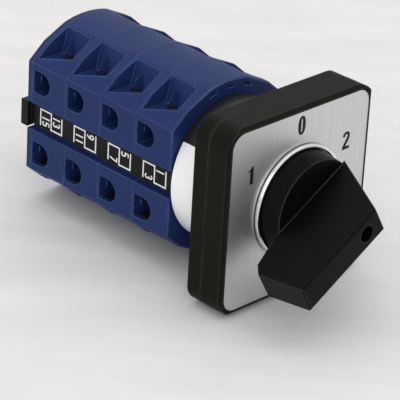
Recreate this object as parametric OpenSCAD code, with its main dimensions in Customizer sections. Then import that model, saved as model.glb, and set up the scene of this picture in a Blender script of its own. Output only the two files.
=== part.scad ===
// Rotary cam switch with three positions, for reversing a motor.
// The spindle lies along Y, the knob faces -Y, +Z is up through the middle
// position, and the origin is the centre of the mounting plate's rear face.
// The handle is drawn in its right-hand position.

/* [Front plates] */
// Side of the square front frame
frame_side = 48; // [44:0.5:60]
// Corner radius of the front frame
frame_corner_r = 5; // [3:0.5:8]
// Thickness of the front frame
frame_t = 6.7; // [5.5:0.1:10]
// Thickness of the mounting plate behind it
plate_t = 4.3; // [3.5:0.1:8]
// How much smaller the mounting plate is, on each side
plate_inset = 0.05; // [0.02:0.01:1]
// Width of the frame's rim round the dial
dial_rim = 1.2; // [0.8:0.1:3]
// Thickness of the dial plate
dial_t = 0.5; // [0.3:0.1:1.5]
// How far the dial lies below the frame's rim
dial_recess = 0.16; // [0.05:0.01:0.5]
// Chamfer round the frame's front edge
frame_chamfer = 0.9; // [0.3:0.1:1.1]
// Depth and width of the groove at the seam between the two plates
plate_seam = 0.35; // [0.1:0.05:0.6]
// Distance of the panel fixing holes from the frame's edges
fixing_inset = 6; // [5.5:0.1:7]
// Radius of the panel fixing holes
fixing_r = 2.25; // [1.6:0.05:2.6]

/* [Knob] */
// Radius of the knob's base at its foot
knob_foot_r = 13.1; // [11:0.1:15]
// Radius of the knob's base at its front
knob_front_r = 12.4; // [10.5:0.1:15]
// Height of the knob's base
knob_base_h = 5.9; // [4.5:0.1:8]
// Height of the grip above the base
grip_h = 16.1; // [10:0.1:22]
// Thickness of the grip
grip_t = 8.1; // [7:0.1:10]
// How much the grip narrows towards its front, on each side
grip_taper = 0.2; // [0:0.05:0.5]
// Radius of the grip's long edges
grip_edge_r = 0.9; // [0.3:0.1:1.5]
// Reach of the grip's long end from the spindle
grip_tail = 23.4; // [18:0.1:24]
// Reach of the grip's short end at the base
grip_nose = 12.6; // [10:0.1:14]
// Reach of the grip's short end at the front
grip_nose_front = 4.8; // [3:0.1:10]
// Radius of the deep screw hole in the grip
knob_hole_r = 2.1; // [1.9:0.05:2.6]
// Outer radius of the bright ring at the knob's foot
ring_r = 14.2; // [13.5:0.1:17]
// Thickness of the bright ring
ring_t = 0.8; // [0.5:0.1:1.2]

/* [Latch] */
// Length of the round latch housing
latch_l = 13.2; // [12:0.1:18]
// Radius of the round latch housing
latch_r = 18.15; // [17:0.05:20]
// Wall of the latch housing
latch_wall = 2.25; // [1.5:0.05:3]
// Rear wall of the latch housing
latch_rear_t = 2.8; // [2:0.1:4]
// Thickness of the label band round the housing
band_t = 0.15; // [0.1:0.05:0.4]
// Crest radius of the star wheel
star_r = 8.3; // [7.5:0.1:8.6]
// Number of notches in the star wheel
star_notches = 6; // [6]
// Radius of each notch
notch_r = 2.2; // [1.9:0.05:2.4]
// Travel of a detent plunger into its notch
detent_travel = 1.4; // [0.8:0.05:1.4]
// Angle that the handle turns between its end positions
turn_angle = 120; // [90:5:120]

/* [Contact sections] */
// Number of contact sections
section_count = 4; // [4]
// Length of one contact section
section_l = 12.3; // [12:0.05:16]
// Width of a contact section across its flat sides
section_w = 36.7; // [36:0.1:42]
// Radius of the domed top at its rear rim
dome_r = 24.85; // [24.5:0.05:26]
// How far the dome's centre lies below the spindle
dome_drop = 2.2; // [1.8:0.05:2.4]
// How much the dome's radius shrinks towards the front
dome_draft = 0.45; // [0:0.05:0.6]
// How far the upper facets lean in towards the front
upper_draft = 0.5; // [0:0.05:0.6]
// How far the lower facets lean in towards the front
lower_draft = 0.35; // [0:0.05:0.6]
// Length of the set-back collar at a section's front
seam_l = 0.25; // [0.1:0.05:0.5]
// Depth of the same collar
seam_d = 0.3; // [0.1:0.05:0.5]
// Front wall of a section beside the screw pockets
section_front_t = 2.3; // [2:0.1:2.6]
// Rear rim of a section behind the screw pockets
section_rear_t = 0.7; // [0.5:0.05:1.2]
// Height of the screw pocket's floor above the spindle
pocket_floor_z = 14.9; // [14.7:0.1:15.5]
// Height of a wire entry
entry_h = 6.04; // [5.4:0.02:6.2]
// Width of a wire entry along the switch
entry_w = 5.9; // [5.4:0.05:6.2]
// Lower edge of a wire entry above the spindle
entry_z = 6.6; // [6.4:0.05:7]
// Distance from the wire entry to the section's rear face
entry_rear = 0.5; // [0.4:0.05:1]
// Height of the groove for the marking strip
strip_groove_h = 7.3; // [6.2:0.1:8]
// Depth of the groove for the marking strip
strip_groove_d = 2.3; // [1.8:0.1:2.5]
// Height of the marking strip
strip_h = 5.5; // [4.5:0.1:6]
// Thickness of the marking strip
strip_t = 1; // [0.6:0.1:1.3]
// Thickness of the end cover
cover_t = 1.5; // [1.2:0.1:3]

/* [Contacts] */
// Lift of a contact bridge from closed to open
contact_lift = 1.8; // [1.2:0.1:1.9]
// Radius of the cams where a contact is closed
cam_r = 6.8; // [6.6:0.05:6.9]
// Thickness of the cams
cam_t = 5; // [4:0.1:5.2]
// Thickness of the contact strips
strip_metal_t = 0.8; // [0.6:0.05:0.9]
// Height of the silver tips
tip_h = 0.4; // [0.3:0.05:0.45]
// Radius of the silver tips
tip_r = 1.2; // [0.9:0.05:1.2]
// Distance of the silver tips from the spindle
tip_x = 5.5; // [5.2:0.05:5.6]
// Distance of the terminal screws from the spindle
terminal_x = 10; // [9.9:0.05:10.3]
// Radius of the terminal screws' shanks
terminal_screw_r = 1.25; // [1:0.05:1.3]
// Radius of the terminal screws' heads
terminal_head_r = 1.55; // [1.5:0.05:1.6]

/* [Spindle and bolts] */
// Side of the square spindle
spindle_side = 7; // [6:0.1:7.2]
// Radius of the round journals
journal_r = 6.1; // [5.9:0.05:6.3]
// Distance of the tie bolts from the spindle
bolt_x = 12.5; // [12.2:0.1:12.8]
// Radius of the tie bolts
bolt_r = 1.75; // [1.4:0.05:1.9]
// Distance of the plate screws from the spindle, each way
plate_screw_xy = 10.4; // [10.2:0.1:11.6]
// Radius of the plate screws
plate_screw_r = 1.5; // [1.2:0.05:1.6]

/* [Springs] */
// Wire radius of the springs
wire_r = 0.25; // [0.15:0.01:0.35]
// Mean radius of the contact springs
contact_spring_r = 1.5; // [1:0.1:1.8]
// Mean radius of the detent springs
detent_spring_r = 1.3; // [1:0.1:1.5]

/* [Hidden] */
$fn = 64;

// Overrun of every cut past the face that it opens
cut = 1;
// Clearance of a seat that doesn't move
seat = 0.1;
// Radial clearance of a turning journal
running = 0.05;
// Clearance of a sliding or turning piece that nothing bears on
free = 0.3;
// Clearance between a cam and the nose of a plunger
cam_gap = 0.15;
// Gap between closed contact tips
tip_gap = 0.05;

// Colours as the photograph shows them
housing_blue = [0.22, 0.32, 0.62];
plate_black = [0.08, 0.08, 0.07];
dial_silver = [0.75, 0.75, 0.78];
steel = [0.72, 0.72, 0.74];
brass = [0.78, 0.62, 0.32];
nylon = [0.86, 0.84, 0.78];
red_nylon = [0.62, 0.2, 0.16];

// Stations along the switch
sections_y = latch_l;
cover_y = sections_y + section_count * section_l;
end_y = cover_y + cover_t;
frame_back_y = -plate_t;
frame_front_y = -(plate_t + frame_t);
dial_y = frame_front_y + dial_recess;
knob_foot_y = dial_y - free;
knob_base_y = knob_foot_y - knob_base_h;
grip_front_y = knob_base_y - grip_h;

fixing_pitch = frame_side - 2 * fixing_inset;
// Depth of the frame's floor behind the fixing screws' heads
frame_floor_t = 2;
// Radius of the room for a fixing screw's head
fixing_head_r = 4;
// Radius of the opening for the knob's hub
hub_hole_r = 8;
// Pegs that locate the frame on the mounting plate
peg_r = 1.6;
peg_h = 2.5;
peg_reach = frame_side / 2 - 2 * dial_rim - 2 * peg_r;

// Wall between the spindle's square and the knob's hub
hub_r = journal_r + 0.03 * journal_r;
socket_deep = 3.2;
knob_screw_r = 1.6;
knob_screw_head_h = 2.2;
knob_screw_seat = 4;
knob_screw_grip = 8;
spindle_front_y = knob_foot_y - socket_deep;
screw_seat_y = spindle_front_y - knob_screw_seat;
hub_end_y = frame_back_y - free;

// Section's places, measured from its front face
entry_rear_y = section_l - entry_rear;
entry_front_y = entry_rear_y - entry_w;
contact_y = entry_rear_y - entry_w / 2;
entry_mid_z = entry_z + entry_h / 2;
entry_top_z = entry_z + entry_h;
side_x = section_w / 2;
pocket_rear_y = section_l - section_rear_t;
groove_x = side_x - strip_groove_d;

// Outline of a section: chords just inside the dome's circle
facet_inset = 0.12;
chord_r = dome_r - facet_inset;
shoulder_share = 0.74;
shoulder_x = shoulder_share * side_x;
shoulder_z = sqrt(chord_r * chord_r - shoulder_x * shoulder_x) - dome_drop;
side_z = sqrt(chord_r * chord_r - side_x * side_x) - dome_drop;
crown_share = 0.42;
crown_x = crown_share * side_x;
crown_z = sqrt(chord_r * chord_r - crown_x * crown_x) - dome_drop;

// Screw pocket: its inner wall leans up to the crown, and its outer lip runs aslant
pocket_inner_x = 9.5;
pocket_inner_top_x = 6.5;
pocket_outer_front_x = 14.4;
pocket_outer_rear_x = 17.2;
pocket_top_z = dome_r;
pocket_skew = 1;

// Room inside a section
chamber_front_y = entry_front_y;
cam_front_y = contact_y - cam_t / 2;
cam_rear_y = contact_y + cam_t / 2;
cam_bore_r = cam_r + contact_lift + 2 * free;
journal_bore_r = journal_r + running;
strip_z = entry_top_z + seat / 2;
strip_top_z = strip_z + strip_metal_t;
closed_bridge_z = strip_top_z + 2 * tip_h + tip_gap;
bridge_top_z = closed_bridge_z + strip_metal_t;
spring_roof_z = 21.2;
bridge_room_x = tip_x + tip_r + free;
bridge_room_z = bridge_top_z + contact_lift + 2 * free;
plunger_half_x = 2.8;
guide_half_x = plunger_half_x + free;
plunger_half_y = 2.7;
cheek_t = 0.8;
nose_r = 1.4;
clamp_t = 0.85;
clamp_half_x = 1.9;
clamp_half_y = 2.55;
terminal_room_z = entry_z - free;
terminal_room_inner_x = terminal_x - clamp_half_x - 2 * seat;
terminal_room_outer_x = side_x - 1.5;
strip_slot_y = 2.8;
contact_strip_half_y = 2.6;
contact_strip_inner_x = tip_x - tip_r;
contact_strip_outer_x = terminal_room_outer_x - 2 * seat;
screw_hole_r = terminal_head_r + seat;
terminal_head_h = 1;
slot_w = 0.7;
slot_d = 0.8;
bolt_hole_r = bolt_r + 1.5 * seat;

// Shallow pockets in a section's front face
key_r = 20.5;
key_w = 0.7;
key_d = 1;
key_angle = 8;
key_places = [-15, 1.5, 18];

// Places in the latch housing, measured from the mounting plate
latch_room_y = latch_l - latch_rear_t;
latch_room_r = latch_r - latch_wall;
stop_t = 4.3;
stop_y = 2 * seat;
ledge_y = stop_y + stop_t + seat;
star_y = ledge_y + free;
star_t = 4.2;
notch_centre = star_r + 0.1 * star_r;
detent_nose_r = 1.6;
detent_nose_z = star_r + free;
detent_half_x = 2.4;
detent_body_z = detent_nose_z + 2 * detent_nose_r;
detent_end_z = 13.4;
detent_seat_z = 10.9;
detent_bore_r = 1.75;
detent_guide_t = 1.6;
stop_ring_r = 6.7;
stop_lug_r = 8.5;
stop_lug_angle = 40;
boss_r = 3.3;
plate_boss_r = 2.8;
stop_plate_r = plate_screw_xy * sqrt(2) - plate_boss_r - free;
stop_ear_half_x = 4;
bolt_end_y = ledge_y + seat;
bolt_head_r = 2.6;
bolt_head_h = 2.2;
plate_head_r = 2.8;
plate_head_h = 1.8;
plate_screw_end_y = 9;
band_margin = 0.5;

// Marking strip
strip_half_z = strip_h / 2;
strip_front_y = sections_y + seat;
strip_hook_y = end_y + seat;
strip_hook_x = bolt_x + bolt_head_r + 2 * seat;
strip_hook_t = 2.3;
strip_hook_half_z = strip_half_z + 6 * seat;

// Solid between two places along Y, from an outline in X and Z
module along_y(front, rear) {
    translate([0, rear, 0]) rotate([90, 0, 0]) linear_extrude(rear - front) children();
}

// Round solid along Y, with its own radius at each end
module rod_y(front, rear, front_r, rear_r = 0) {
    translate([0, rear, 0]) rotate([90, 0, 0])
        cylinder(h = rear - front, r1 = rear_r > 0 ? rear_r : front_r, r2 = front_r);
}

// Box between two corners
module block(low, high) {
    translate(low) cube(high - low);
}

// The four quarters of a section, upper and lower, left and right
module each_quarter() {
    for (sx = [0, 1], sz = [0, 1])
        mirror([sx, 0, 0]) mirror([0, 0, sz]) children();
}

// Square with rounded corners, from two bars and four discs
module rounded_square(side, r) {
    half = side / 2 - r;
    square([side, 2 * half], center = true);
    square([2 * half, side], center = true);
    for (x = [-half, half], y = [-half, half]) translate([x, y]) circle(r);
}

// Wedge of a full turn, from one angle to another, clockwise from the top
module wedge(from, to, reach) {
    middle = (from + to) / 2;
    polygon([[0, 0], for (a = [from, middle, to]) [reach * sin(a), reach * cos(a)]]);
}

// Sleeve that the curls of a coil spring fill, up the Z axis
module spring_form(mean_r, low, high) translate([0, 0, low]) difference() {
    cylinder(h = high - low, r = mean_r + wire_r);
    translate([0, 0, -cut]) cylinder(h = high - low + 2 * cut, r = mean_r - wire_r);
}

module rear_plate() color(plate_black) difference() {
    along_y(-plate_t, 0) rounded_square(frame_side - 2 * plate_inset, frame_corner_r);
    rod_y(-plate_t - cut, cut, journal_bore_r);
    for (x = [-1, 1], z = [-1, 1]) {
        translate([x * fixing_pitch / 2, 0, z * fixing_pitch / 2])
            rod_y(-plate_t - cut, cut, fixing_r);
        translate([x * plate_screw_xy, 0, z * plate_screw_xy]) {
            rod_y(-plate_t - cut, cut, plate_screw_r + seat);
            rod_y(-plate_t - cut, -plate_t + plate_head_h + seat, plate_head_r + seat);
        }
    }
    for (a = [0:90:270]) rotate([0, a, 0]) translate([0, 0, peg_reach])
        rod_y(-plate_t - cut, -plate_t + peg_h + seat, peg_r + running);
}

module front_frame() color(plate_black) {
    difference() {
        intersection() {
            union() {
                along_y(frame_front_y, frame_back_y - plate_seam)
                    rounded_square(frame_side, frame_corner_r);
                along_y(frame_front_y, frame_back_y)
                    rounded_square(frame_side - 2 * plate_seam, frame_corner_r - plate_seam);
            }
            // chamfered front edge: the frame's outline inside a slanted square cone
            for_chamfer();
        }
        along_y(frame_front_y - cut, dial_y + dial_t)
            rounded_square(frame_side - 2 * dial_rim, frame_corner_r - dial_rim);
        rod_y(frame_front_y - cut, frame_back_y + cut, hub_hole_r);
        for (x = [-1, 1], z = [-1, 1])
            translate([x * fixing_pitch / 2, 0, z * fixing_pitch / 2]) {
                rod_y(frame_front_y - cut, frame_back_y + cut, fixing_r);
                rod_y(frame_front_y - cut, frame_back_y - frame_floor_t, fixing_head_r);
            }
    }
    for (a = [0:90:270]) rotate([0, a, 0]) translate([0, 0, peg_reach])
        rod_y(frame_back_y - frame_floor_t, frame_back_y + peg_h, peg_r);
}

// Room inside the chamfer of the frame's four front edges
module for_chamfer() {
    deep = frame_front_y - cut;
    side = frame_side / 2;
    edge = side - frame_chamfer;
    rise = cut + frame_chamfer;
    intersection_for(a = [0, 90])
        rotate([0, a, 0])
            translate([-frame_side, 0, 0]) rotate([90, 0, 90]) linear_extrude(2 * frame_side)
                polygon([[deep, edge - cut], [deep + rise, side], [frame_back_y + cut, side],
                    [frame_back_y + cut, -side], [deep + rise, -side], [deep, cut - edge]]);
}

module dial_plate() color(dial_silver) difference() {
    along_y(dial_y, dial_y + dial_t)
        rounded_square(frame_side - 2 * dial_rim - seat, frame_corner_r - dial_rim);
    rod_y(dial_y - cut, dial_y + dial_t + cut, hub_hole_r);
}

// Round housing with the guides of the two detent plungers and four screw bosses
module latch_housing() color(plate_black) difference() {
    union() {
        difference() {
            rod_y(0, latch_l, latch_r);
            rod_y(-cut, latch_room_y, latch_room_r);
        }
        intersection() {
            rod_y(0, latch_room_y + cut, latch_room_r + latch_wall / 2);
            union() {
                for (x = [-bolt_x, bolt_x]) translate([x, 0, 0])
                    rod_y(ledge_y, latch_room_y + cut, boss_r);
                for (x = [-1, 1], z = [-1, 1])
                    translate([x * plate_screw_xy, 0, z * plate_screw_xy])
                        rod_y(0, latch_room_y + cut, plate_boss_r);
                for (x = [-1, 1], z = [-1, 1]) scale([x, 1, z])
                    block([detent_half_x + free, ledge_y, detent_body_z - free],
                        [detent_half_x + free + detent_guide_t, latch_room_y + cut, latch_r]);
            }
        }
    }
    rod_y(-cut, latch_l + cut, journal_bore_r);
    for (x = [-bolt_x, bolt_x]) translate([x, 0, 0])
        rod_y(ledge_y - cut, latch_l + cut, bolt_r + running);
    for (x = [-1, 1], z = [-1, 1])
        translate([x * plate_screw_xy, 0, z * plate_screw_xy])
            rod_y(-cut, plate_screw_end_y + free, plate_screw_r + running);
}

// Fixed plate whose sector limits the turn of the stop disc
module stop_plate() color(nylon) difference() {
    along_y(stop_y, stop_y + stop_t) difference() {
        union() {
            circle(stop_plate_r);
            intersection() {
                circle(latch_room_r - free);
                square([2 * stop_ear_half_x, 2 * latch_room_r], center = true);
            }
        }
        circle(stop_ring_r);
        intersection() {
            circle(stop_lug_r + free);
            wedge(180 - turn_angle / 2 - stop_lug_angle / 2 - stop_play,
                180 + turn_angle / 2 + stop_lug_angle / 2 + stop_play, 2 * latch_r);
        }
    }
    for (x = [-1, 1], z = [-1, 1])
        translate([x * plate_screw_xy, 0, z * plate_screw_xy])
            rod_y(0, stop_y + stop_t + cut, plate_boss_r + seat);
}
stop_play = 2.5;

module neck_label() color(plate_black) difference() {
    rod_y(band_margin, latch_l - band_margin, latch_r + band_t);
    rod_y(0, latch_l, latch_r);
}

// Cut above one facet of a section, which leans in from its place at the rear rim
module facet_cut(outer, inner, length, draft, inset) {
    slope = atan2(inner[1] - outer[1], outer[0] - inner[0]);
    translate([outer[0], length, outer[1]]) rotate([0, slope, 0])
        rotate([atan(draft / section_l), 0, 0])
            block([-2 * dome_r, -2 * length - cut, -inset], [2 * dome_r, cut, dome_r]);
}

// Closed form of a section: flat sides, two leaning facets a shoulder and a drafted dome
module section_form(length, inset = 0) difference() {
    intersection() {
        along_y(0, length) square([2 * (side_x - inset), 2 * dome_r], center = true);
        intersection_for(z = [-dome_drop, dome_drop]) translate([0, 0, z])
            rod_y(0, length, dome_r - inset - dome_draft * length / section_l, dome_r - inset);
    }
    each_quarter() {
        facet_cut([shoulder_x, shoulder_z], [crown_x, crown_z], length, upper_draft, inset);
        facet_cut([side_x, side_z], [shoulder_x, shoulder_z], length, lower_draft, inset);
    }
}

// The same form with a set-back collar at its front, which shows as a dark seam
module section_body(length) {
    intersection() {
        section_form(length);
        along_y(seam_l, length + cut) square(4 * dome_r, center = true);
    }
    intersection() {
        section_form(length, seam_d);
        along_y(-cut, 2 * seam_l) square(4 * dome_r, center = true);
    }
}

// Room over a terminal screw, open to the top and to the side
module screw_pocket() {
    intersection() {
        along_y(section_front_t, pocket_rear_y)
            polygon([[pocket_inner_top_x, pocket_top_z], [pocket_inner_x, pocket_floor_z],
                [side_x, pocket_floor_z], [side_x, pocket_top_z]]);
        translate([0, 0, pocket_floor_z]) linear_extrude(pocket_top_z)
            polygon([[pocket_inner_top_x, section_front_t + pocket_skew],
                [pocket_outer_front_x, section_front_t], [pocket_outer_rear_x, pocket_rear_y],
                [pocket_inner_top_x, pocket_rear_y]]);
    }
}

// Wire entry with a flat rear side and a round front side
module wire_entry() {
    translate([terminal_room_outer_x - cut, 0, 0]) rotate([90, 0, 90])
        linear_extrude(side_x - terminal_room_outer_x + 2 * cut) {
            translate([entry_front_y + entry_h / 2, entry_mid_z]) circle(entry_h / 2);
            translate([entry_front_y + entry_h / 2, entry_z])
                square([entry_w - entry_h / 2, entry_h]);
        }
}

// Everything that is cut from one quarter of a section for its terminal
module terminal_room() {
    screw_pocket();
    wire_entry();
    block([terminal_room_inner_x, entry_front_y, terminal_room_z],
        [terminal_room_outer_x, entry_rear_y, strip_top_z + seat]);
    translate([terminal_x, contact_y, strip_top_z])
        cylinder(h = pocket_top_z - strip_top_z, r = screw_hole_r);
    block([bridge_room_x - cut, contact_y - strip_slot_y, strip_z - seat],
        [terminal_room_inner_x + cut, contact_y + strip_slot_y, strip_top_z + seat]);
}

// Room of one contact bridge with its plunger and spring, open to the rear
module bridge_room() {
    block([-guide_half_x, chamber_front_y, 0], [guide_half_x, section_l + cut, spring_roof_z]);
    block([-bridge_room_x, chamber_front_y, strip_z - seat],
        [bridge_room_x, section_l + cut, bridge_room_z]);
}

module section_keys() {
    along_y(-cut, key_d) intersection() {
        difference() {
            circle(key_r + key_w / 2);
            circle(key_r - key_w / 2);
        }
        for (a = key_places) wedge(a - key_angle / 2, a + key_angle / 2, 2 * key_r);
    }
}

module contact_section(i) color(housing_blue) translate([0, sections_y + i * section_l, 0])
    difference() {
        section_body(section_l);
        each_quarter() terminal_room();
        for (s = [0, 1]) mirror([0, 0, s]) bridge_room();
        rod_y(-cut, section_l + cut, journal_bore_r);
        rod_y(chamber_front_y, section_l + cut, cam_bore_r);
        section_keys();
        for (s = [-1, 1]) {
            translate([s * bolt_x, 0, 0]) rod_y(-cut, section_l + cut, bolt_hole_r);
            scale([s, 1, 1]) block([groove_x, -cut, -strip_groove_h / 2],
                [side_x + cut, section_l + cut, strip_groove_h / 2]);
        }
    }

module end_cover() color(housing_blue) translate([0, cover_y, 0]) difference() {
    section_body(cover_t);
    for (s = [-1, 1]) {
        translate([s * bolt_x, 0, 0]) rod_y(-cut, cover_t + cut, bolt_hole_r);
        scale([s, 1, 1]) block([groove_x, -cut, -strip_groove_h / 2],
            [side_x + cut, cover_t + cut, strip_groove_h / 2]);
    }
}

// Two long bolts that hold the sections on the latch housing
module tie_bolts() color(steel) for (x = [-bolt_x, bolt_x]) translate([x, 0, 0])
    difference() {
        union() {
            rod_y(bolt_end_y, end_y + seat, bolt_r);
            rod_y(end_y, end_y + bolt_head_h, bolt_head_r);
        }
        block([-bolt_head_r - cut, end_y + bolt_head_h - slot_d, -slot_w / 2],
            [bolt_head_r + cut, end_y + bolt_head_h + cut, slot_w / 2]);
    }

module plate_screws() color(steel) for (x = [-1, 1], z = [-1, 1])
    translate([x * plate_screw_xy, 0, z * plate_screw_xy]) difference() {
        union() {
            rod_y(-plate_t, -plate_t + plate_head_h, plate_head_r);
            rod_y(-plate_t, plate_screw_end_y, plate_screw_r);
        }
        block([-plate_head_r - cut, -plate_t - cut, -slot_w / 2],
            [plate_head_r + cut, -plate_t + slot_d, slot_w / 2]);
    }

// Marking strip in its groove, hooked over the end cover
module marking_strip(s) color(plate_black) scale([s, 1, 1]) {
    block([groove_x, strip_front_y, -strip_half_z],
        [groove_x + strip_t, strip_hook_y, strip_half_z]);
    block([groove_x, strip_hook_y - seat, -strip_half_z],
        [groove_x + strip_t, strip_hook_y + strip_hook_t, strip_half_z]);
    block([strip_hook_x, strip_hook_y, -strip_hook_half_z],
        [side_x, strip_hook_y + strip_hook_t, strip_hook_half_z]);
}

// One fixed contact: a strip with a screw hole and a silver tip
module fixed_contact() difference() {
    union() {
        block([contact_strip_inner_x, contact_y - contact_strip_half_y, strip_z],
            [contact_strip_outer_x, contact_y + contact_strip_half_y, strip_top_z]);
        translate([tip_x, contact_y, strip_z])
            cylinder(h = strip_metal_t + tip_h, r = tip_r);
    }
    translate([terminal_x, contact_y, strip_z - cut])
        cylinder(h = strip_metal_t + 2 * cut, r = terminal_screw_r + seat);
}

module fixed_contacts(i) color(brass) translate([0, sections_y + i * section_l, 0])
    each_quarter() fixed_contact();

module terminal_screw() difference() {
    translate([terminal_x, contact_y, 0]) {
        translate([0, 0, strip_top_z]) cylinder(h = terminal_head_h, r = terminal_head_r);
        translate([0, 0, entry_z + seat]) cylinder(h = strip_top_z + seat - entry_z - seat,
            r = terminal_screw_r);
    }
    translate([terminal_x, contact_y, strip_top_z + terminal_head_h])
        cube([3 * terminal_head_r, slot_w, 2 * slot_d], center = true);
}

module terminal_screws() color(steel) for (i = [0:section_count - 1])
    translate([0, sections_y + i * section_l, 0]) each_quarter() terminal_screw();

// Pressed clamp under the wire, threaded on the terminal screw
module wire_clamp() difference() {
    block([terminal_x - clamp_half_x, contact_y - clamp_half_y, entry_z],
        [terminal_x + clamp_half_x, contact_y + clamp_half_y, entry_z + clamp_t]);
    translate([terminal_x, contact_y, entry_z - cut])
        cylinder(h = clamp_t + 2 * cut, r = terminal_screw_r + running);
}

module wire_clamps() color(steel) for (i = [0:section_count - 1])
    translate([0, sections_y + i * section_l, 0]) each_quarter() wire_clamp();

// Contact program: the upper contacts close at the left-hand position, the lower
// ones at the right-hand position, so at rest the upper ones stand lifted
function lift_at_rest(upper) = upper ? contact_lift : 0;

// Cam whose radius falls and rises steadily over the whole turn, from the top clockwise
function cam_radius(a) = cam_r + contact_lift * (
    a < turn_angle ? 1 - a / turn_angle :
    a < 180 ? 0 :
    a < 180 + turn_angle ? (a - 180) / turn_angle : 1);
cam_step = 6;

module square_bore(front, rear) {
    side = spindle_side + seat;
    block([-side / 2, front, -side / 2], [side / 2, rear, side / 2]);
}

module cam(i) color(red_nylon) translate([0, sections_y + i * section_l, 0]) difference() {
    union() {
        along_y(cam_front_y, cam_rear_y)
            polygon([for (a = [0:cam_step:360 - cam_step])
                cam_radius(a) * [sin(a), cos(a)]]);
        rod_y(seat, section_l, journal_r);
    }
    square_bore(0, section_l + cut);
}

// Fork that follows a cam and carries a bridge, drawn for a closed contact
module plunger_form() {
    low = cam_r + cam_gap;
    shoulder = low + 2 * nose_r;
    difference() {
        translate([0, contact_y - plunger_half_y, 0]) rotate([90, 0, 0])
            mirror([0, 0, 1]) linear_extrude(2 * plunger_half_y) {
                translate([0, low + nose_r]) circle(nose_r);
                translate([-nose_r, low + nose_r]) square([2 * nose_r, nose_r]);
                translate([-plunger_half_x, shoulder])
                    square([2 * plunger_half_x, bridge_top_z + strip_metal_t - shoulder]);
            }
        block([-plunger_half_x - cut, contact_y - plunger_half_y + cheek_t, closed_bridge_z],
            [plunger_half_x + cut, contact_y + plunger_half_y - cheek_t,
                bridge_top_z + strip_metal_t + cut]);
    }
}

// Bridge strip with a silver tip under each end, drawn for a closed contact
module bridge_form() {
    half_y = plunger_half_y - cheek_t - seat;
    block([-tip_x - tip_r, contact_y - half_y, closed_bridge_z],
        [tip_x + tip_r, contact_y + half_y, bridge_top_z]);
    for (x = [-tip_x, tip_x]) translate([x, contact_y, closed_bridge_z - tip_h])
        cylinder(h = tip_h + strip_metal_t / 2, r = tip_r);
}

// Places a moving contact part in its section, above or below the spindle
module contact_place(i, upper) {
    translate([0, sections_y + i * section_l, 0]) mirror([0, 0, upper ? 0 : 1])
        translate([0, 0, lift_at_rest(upper)]) children();
}

module plunger(i, upper) color(nylon) contact_place(i, upper) plunger_form();

module contact_bridge(i, upper) color(brass) contact_place(i, upper) bridge_form();

module contact_spring(i, upper) color(steel)
    translate([0, sections_y + i * section_l + contact_y, 0]) mirror([0, 0, upper ? 0 : 1])
        spring_form(contact_spring_r,
            bridge_top_z + lift_at_rest(upper) + seat, spring_roof_z - seat);

// Plunger of the latch, drawn on the crest of the star wheel
module detent_form() difference() {
    translate([0, star_y + star_t - seat, 0]) rotate([90, 0, 0])
        linear_extrude(star_t - 2 * seat) {
            translate([0, detent_nose_z + detent_nose_r]) circle(detent_nose_r);
            translate([-detent_nose_r, detent_nose_z + detent_nose_r])
                square([2 * detent_nose_r, detent_nose_r]);
            translate([-detent_half_x, detent_body_z])
                square([2 * detent_half_x, detent_end_z - detent_body_z]);
        }
    translate([0, star_y + star_t / 2, detent_seat_z])
        cylinder(h = detent_end_z - detent_seat_z + cut, r = detent_bore_r);
}

module detent_plunger(upper) color(red_nylon) mirror([0, 0, upper ? 0 : 1]) detent_form();

module detent_spring(upper) color(steel) translate([0, star_y + star_t / 2, 0])
    mirror([0, 0, upper ? 0 : 1])
        spring_form(detent_spring_r, detent_seat_z + seat, latch_room_r - 2 * seat);

module star_wheel() color(red_nylon) difference() {
    union() {
        rod_y(star_y, star_y + star_t, star_r);
        rod_y(star_y, latch_l, journal_r);
    }
    for (i = [0:star_notches - 1]) rotate([0, i * 360 / star_notches, 0])
        translate([0, 0, notch_centre]) rod_y(star_y - cut, star_y + star_t + cut, notch_r);
    square_bore(star_y - cut, latch_l + cut);
}

module stop_disc() color(red_nylon) difference() {
    along_y(stop_y, stop_y + stop_t) {
        circle(stop_ring_r - free);
        intersection() {
            circle(stop_lug_r);
            wedge(180 + turn_angle / 2 - stop_lug_angle / 2,
                180 + turn_angle / 2 + stop_lug_angle / 2, 2 * latch_r);
        }
    }
    square_bore(0, stop_y + stop_t + cut);
}

module spindle() color(steel) difference() {
    union() {
        block([-spindle_side / 2, spindle_front_y, -spindle_side / 2],
            [spindle_side / 2, cover_y - free, spindle_side / 2]);
        rod_y(-plate_t + seat, 0, journal_r);
    }
    rod_y(spindle_front_y - cut, spindle_front_y + knob_screw_grip + seat,
        knob_screw_r + running);
}

// Side view of the grip, with the spindle at the left and the front upwards
tail_root_share = 0.1;
tail_corner_share = 0.09;
tail_lean = 1.5;
function grip_outline() = let (h = grip_h, tail = grip_tail, c = tail_corner_share * tail)
    [[grip_nose, -free], [grip_nose_front, h], [-tail + tail_lean + c / 4, h],
        [-tail + tail_lean, h - c / 4], [-tail, tail_root_share * h + c],
        [-tail + c, tail_root_share * h], [-knob_front_r + free, -free]];

// End view of the grip: it narrows towards the front and its long edges are round
module grip_end_view() {
    front = grip_t / 2 - grip_taper;
    r = grip_edge_r;
    polygon([[grip_t / 2, -free], [front, grip_h - r], [front - r, grip_h],
        [r - front, grip_h], [-front, grip_h - r], [-grip_t / 2, -free]]);
    for (x = [r - front, front - r]) translate([x, grip_h - r]) circle(r);
}

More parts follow.
